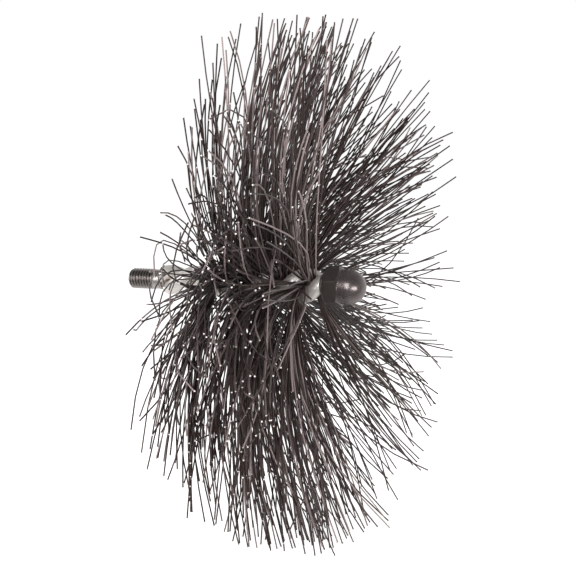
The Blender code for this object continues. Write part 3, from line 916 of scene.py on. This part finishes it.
def tufted_filaments(settings, count, chance):
    """The rest of the head: small tufts along both sides of the twist, and some strays."""
    tufts = round(count / FILAMENTS_PER_TUFT)
    roots = -ZONE_HALF + 2 * ZONE_HALF * (np.arange(tufts) + chance.uniform(*TUFT_PLACES, tufts)) / tufts
    angles = band_angle(roots, settings.twist_pitch) + math.pi * (np.arange(tufts) % 2)
    along = np.interp(roots, (-ZONE_HALF, 0.0, ZONE_HALF), (REAR_DENSITY, MIDDLE_DENSITY, FRONT_DENSITY))
    weights = np.cumsum(by_azimuth(angles)[1] * along)
    ends = np.round(weights / weights[-1] * count).astype(int)
    plan = []
    for tuft_root, tuft_angle, members in zip(roots, angles, np.diff(ends, prepend=0)):
        swing = chance.normal(0.0, settings.wander)
        ahead = chance.normal(0.0, TUFT_ALONG)
        tuft_bow = chance.normal(0.0, TUFT_BOW * settings.bend, 2)
        tuft_skew = chance.random()
        for _ in range(members):
            stray = chance.random() < STRAY_SHARE
            root = tuft_root + chance.uniform(-TUFT_ROOT_MM, TUFT_ROOT_MM) * MM
            root = min(max(root, -ZONE_HALF), ZONE_HALF)
            root_angle = tuft_angle + (tuft_root - root) * math.tau / settings.twist_pitch
            wander = settings.wander * (STRAY_WANDER if stray else FILAMENT_WANDER)
            angle = root_angle + swing + chance.normal(0.0, wander)
            own_ahead = chance.normal(0.0, STRAY_ALONG if stray else FILAMENT_ALONG)
            tip = usual_tip(root, angle) + ahead + own_ahead
            tip = min(max(parted(tip, angle), root + LEAST_LEAN, NEAREST_TIP), FURTHEST_TIP)
            short = chance.random() < SHORT_SHARE
            if short:
                shortening = chance.uniform(*SHORT_LOSSES)
            else:
                shortening = min(abs(chance.normal(0.0, LONG_LOSS_SCATTER)), MOST_LONG_LOSS)
            loose = 1.0
            if faces_viewer(angle):
                loose = LOOSEST if chance.random() < LOOSEST_SHARE else LOOSE
            own_bow = chance.normal(0.0, settings.bend * (STRAY_BOW if stray else FILAMENT_BOW), 2)
            bow = loose * (tuft_bow + own_bow)
            bow *= min(1.0, LARGEST_BOW / max(math.hypot(*bow), MM))
            skew = MOST_SKEW * clamped(tuft_skew + chance.normal(0.0, SKEW_SCATTER))
            facing = faces_viewer(angle) or faces_up_and_near(angle)
            # Filaments facing the camera or up and near more often take a pale tone, a painted highlight
            lit_highlight = chance.random() < (FACING_HIGHLIGHT_SHARE if facing else HIGHLIGHT_SHARE)
            if lit_highlight:
                tone = chance.uniform(*HIGHLIGHT_TONES)
            else:
                tone = chance.uniform(0.0, 1.0) ** DARK_TONE_POWER * PALEST_DARK_TONE
            plan.append((root, root_angle, tip, angle, reach_of(root, tip, shortening), bow, skew, tone))
    return plan


def filament_paths(plan):
    """The centrelines: one row of points for each filament, from the pinch between the wires to the tip."""
    root, root_angle, tip, tip_angle, reach = (np.array([p[i] for p in plan])[:, None] for i in range(5))
    bow = np.array([p[5] for p in plan])
    skew = np.array([p[6] for p in plan])[:, None]
    s = np.array(FILAMENT_SHARES)[None, :]
    swing = (tip_angle - root_angle + math.pi) % math.tau - math.pi
    arch = (1 - skew) * np.sin(math.pi * s) + skew * (s ** 2 - s ** 3) * 27 / 4
    along = root + (tip - root) * s ** ALONG_POWER + bow[:, :1] * arch
    angle = root_angle + swing * s ** ROUND_POWER
    radius = ROOT_RADIUS + (reach - ROOT_RADIUS) * s
    aside = bow[:, 1:] * arch
    y = radius * np.cos(angle) - aside * np.sin(angle)
    z = radius * np.sin(angle) + aside * np.cos(angle)
    z = np.maximum(z, FLOOR_CLEARANCE - AXIS_Z)
    return np.stack([ZONE_X + along, y, AXIS_Z + z], axis=2)


def sweep(section, station, paths):
    """Copies the filament pattern along every centreline."""
    tangent = np.gradient(paths, np.array(FILAMENT_SHARES), axis=1)
    tangent /= np.linalg.norm(tangent, axis=2, keepdims=True)
    side = np.cross(tangent, np.array([1.0, 0.0, 0.0]))
    side /= np.linalg.norm(side, axis=2, keepdims=True)
    other = np.cross(tangent, side)
    across = side[:, station] * section[None, :, :1]
    return paths[:, station] + across + other[:, station] * section[None, :, 1:]


class FLUE_BRUSH_OT_bristle_rows(bpy.types.Operator):
    """Set the nylon filaments in the twist, row by row"""

    bl_idname = "flue_brush.bristle_rows"
    bl_label = "Bristle Rows"

    def execute(self, context):
        settings = context.scene.flue_brush
        section, station, faces, cut_faces = filament_pattern(settings.bristle_diameter)
        chance = np.random.default_rng(BRISTLE_SEED)
        plan = outline_filaments(settings, chance)
        plan += tufted_filaments(settings, settings.bristle_count - len(plan), chance)
        verts = sweep(section, station, filament_paths(plan))
        tones = np.array([p[7] for p in plan])
        highlighted_ends = chance.random(len(plan)) < HIGHLIGHTED_END_SHARE
        row_length = 2 * ZONE_HALF / ROW_COUNT
        roots = np.array([p[0] for p in plan])
        rows = np.clip(((roots + ZONE_HALF) // row_length).astype(int), 0, ROW_COUNT - 1)
        nylon = nylon_monofilament(settings.nylon_colour, settings.lit_highlight_nylon_colour)
        cut = painted_end_highlight(settings.lit_highlight_nylon_colour)
        size = len(section)
        for row in range(ROW_COUNT):
            members = np.flatnonzero(rows == row)
            if not len(members):
                raise RuntimeError(f"bristle row {row + 1} has no filaments")
            row_faces = [tuple(v + k * size for v in face) for k in range(len(members)) for face in faces]
            piece = new_object(f"nylon_bristles_{row + 1}", verts[members].reshape(-1, 3), (), row_faces)
            mesh = piece.data
            mesh.materials.append(nylon)
            mesh.materials.append(cut)
            # These cut ends get the painted highlight
            for k in np.flatnonzero(highlighted_ends[members]):
                for i in cut_faces:
                    mesh.polygons[k * len(faces) + i].material_index = 1
            tone = mesh.attributes.new("tone", "FLOAT", "POINT")
            tone.data.foreach_set("value", np.repeat(tones[members], size).astype(np.float32))
            weld_and_face_out(piece, 0.0001 * MM)
            finish_piece(piece, nylon, "core", [f"bristle_row_{row + 1}"], angle=65.0)
        return {"FINISHED"}


def soft_box(name, direction, distance, width, height, energy, axes, aim):
    """A lamp in a direction seen from the camera: right, up and towards it."""
    lamp = bpy.data.lights.new(name, "AREA")
    lamp.shape = "RECTANGLE"
    lamp.size = width
    lamp.size_y = height
    lamp.energy = energy
    holder = bpy.data.objects.new(name, lamp)
    bpy.context.scene.collection.objects.link(holder)
    outward = (axes[0] * direction[0] + axes[1] * direction[1] - axes[2] * direction[2]).normalized()
    holder.location = aim + outward * distance
    holder.rotation_mode = "QUATERNION"
    holder.rotation_quaternion = outward.to_track_quat("Z", "Y")
    holder.visible_camera = False
    return holder


class FLUE_BRUSH_OT_stage(bpy.types.Operator):
    """Set the floor, the lamps and the camera"""

    bl_idname = "flue_brush.stage"
    bl_label = "Stage"

    def execute(self, context):
        scene = context.scene
        right = Vector((math.cos(VIEW_AZIMUTH), math.sin(VIEW_AZIMUTH), 0.0))
        ahead = Vector((-math.sin(VIEW_AZIMUTH) * math.cos(VIEW_ELEVATION),
                        math.cos(VIEW_AZIMUTH) * math.cos(VIEW_ELEVATION), -math.sin(VIEW_ELEVATION)))
        up = right.cross(ahead)

        deselect_all()
        bpy.ops.mesh.primitive_circle_add(vertices=96, radius=FLOOR_RADIUS, fill_type="NGON")
        floor = context.object
        floor.name = "studio_floor"
        floor.data.materials.append(studio_white(ahead))

        aim = Vector((ZONE_X + VIEW_AIM_OFFSET, 0.0, AXIS_Z))
        camera = bpy.data.cameras.new("photo_view")
        camera.sensor_width = 36.0
        camera.lens = VIEW_LENS_MM
        camera.shift_x = VIEW_SHIFT_X
        camera.shift_y = VIEW_SHIFT_Y
        camera.clip_start = 0.01
        holder = bpy.data.objects.new("photo_view", camera)
        scene.collection.objects.link(holder)
        holder.location = aim - ahead * VIEW_DISTANCE
        holder.rotation_mode = "QUATERNION"
        holder.rotation_quaternion = (-ahead).to_track_quat("Z", "Y")
        scene.camera = holder

        dome_centre = Vector((NUT_BOX[1].x - NUT_DOME_RADIUS, 0.0, AXIS_Z))
        # The dome mirrors the first two as its highlights. The right one is raised about 5 degrees, to clear
        # the floor.
        axes = (right, up, ahead)
        soft_box("left_soft_box", (-0.504, 0.113, 0.856), distance=1.3, width=1.1, height=0.75, energy=16.9,
                 axes=axes, aim=dome_centre)
        soft_box("right_soft_box", (0.48, -0.18, 0.858), distance=0.55, width=0.34, height=0.18, energy=1.5,
                 axes=axes, aim=dome_centre)
        overhead = soft_box("overhead_panel", (0.1, 0.97, 0.2), distance=1.8, width=2.4, height=2.4,
                            energy=15.0, axes=axes, aim=dome_centre)
        overhead.visible_glossy = False

        world = bpy.data.worlds.new("plain_studio")
        scene.world = world
        world.use_nodes = True
        tree = world.node_tree
        backdrop = tree.nodes["Background"]
        backdrop.inputs["Color"].default_value = WHITE
        path = add_node(tree, "ShaderNodeLightPath")
        seen = add_node(tree, "ShaderNodeMath", {"operation": "MAXIMUM"},
                        links={0: path.outputs["Is Camera Ray"], 1: path.outputs["Is Transmission Ray"]})
        # Metal mirrors a white backdrop behind the brush, and a dim room above it and behind the camera
        direction = add_node(tree, "ShaderNodeTexCoord")
        height = add_node(tree, "ShaderNodeSeparateXYZ", links={"Vector": direction.outputs["Generated"]})
        ceiling = add_node(tree, "ShaderNodeMapRange",
                           inputs={"From Min": 0.2, "From Max": 0.85, "To Min": 1.0, "To Max": 0.3},
                           links={"Value": height.outputs["Z"]})
        behind = add_node(tree, "ShaderNodeVectorMath", {"operation": "DOT_PRODUCT"}, inputs={1: ahead},
                          links={0: direction.outputs["Generated"]})
        backdrop_share = add_node(tree, "ShaderNodeMapRange",
                                  inputs={"From Min": -0.5, "From Max": 0.5, "To Min": 0.2, "To Max": 1.0},
                                  links={"Value": behind.outputs["Value"]})
        room = add_node(tree, "ShaderNodeMath", {"operation": "MULTIPLY"},
                        links={0: ceiling.outputs["Result"], 1: backdrop_share.outputs["Result"]})
        mirrored = add_node(tree, "ShaderNodeMapRange", inputs={"To Min": 0.4},
                            links={"Value": path.outputs["Is Glossy Ray"], "To Max": room.outputs["Value"]})
        strength = add_node(tree, "ShaderNodeMath", {"operation": "MAXIMUM"},
                            links={0: seen.outputs["Value"], 1: mirrored.outputs["Result"]})
        tree.links.new(strength.outputs["Value"], backdrop.inputs["Strength"])
        scene.view_settings.view_transform = "Standard"
        return {"FINISHED"}


OPERATORS = (FLUE_BRUSH_OT_core_wires, FLUE_BRUSH_OT_studs, FLUE_BRUSH_OT_welds, FLUE_BRUSH_OT_cap_nut,
             FLUE_BRUSH_OT_bristle_rows, FLUE_BRUSH_OT_stage)


class FLUE_BRUSH_PT_sidebar(bpy.types.Panel):
    """Lists the brush's settings and the steps that build it"""

    bl_idname = "FLUE_BRUSH_PT_sidebar"
    bl_label = "Flue Brush"
    bl_space_type = "VIEW_3D"
    bl_region_type = "UI"
    bl_category = "Flue Brush"

    def draw(self, context):
        column = self.layout.column()
        for name in FlueBrushSettings.__annotations__:
            column.prop(context.scene.flue_brush, name)
        for operator in OPERATORS:
            column.operator(operator.bl_idname)


def register():
    for made in (FlueBrushSettings, *OPERATORS, FLUE_BRUSH_PT_sidebar):
        bpy.utils.register_class(made)
    bpy.types.Scene.flue_brush = bpy.props.PointerProperty(type=FlueBrushSettings)


def unregister():
    del bpy.types.Scene.flue_brush
    for made in (FLUE_BRUSH_PT_sidebar, *reversed(OPERATORS), FlueBrushSettings):
        bpy.utils.unregister_class(made)


def main():
    register()
    bpy.ops.flue_brush.core_wires()
    bpy.ops.flue_brush.studs()
    bpy.ops.flue_brush.welds()
    bpy.ops.flue_brush.cap_nut()
    bpy.ops.flue_brush.bristle_rows()
    bpy.ops.flue_brush.stage()


if __name__ == "__main__":
    main()
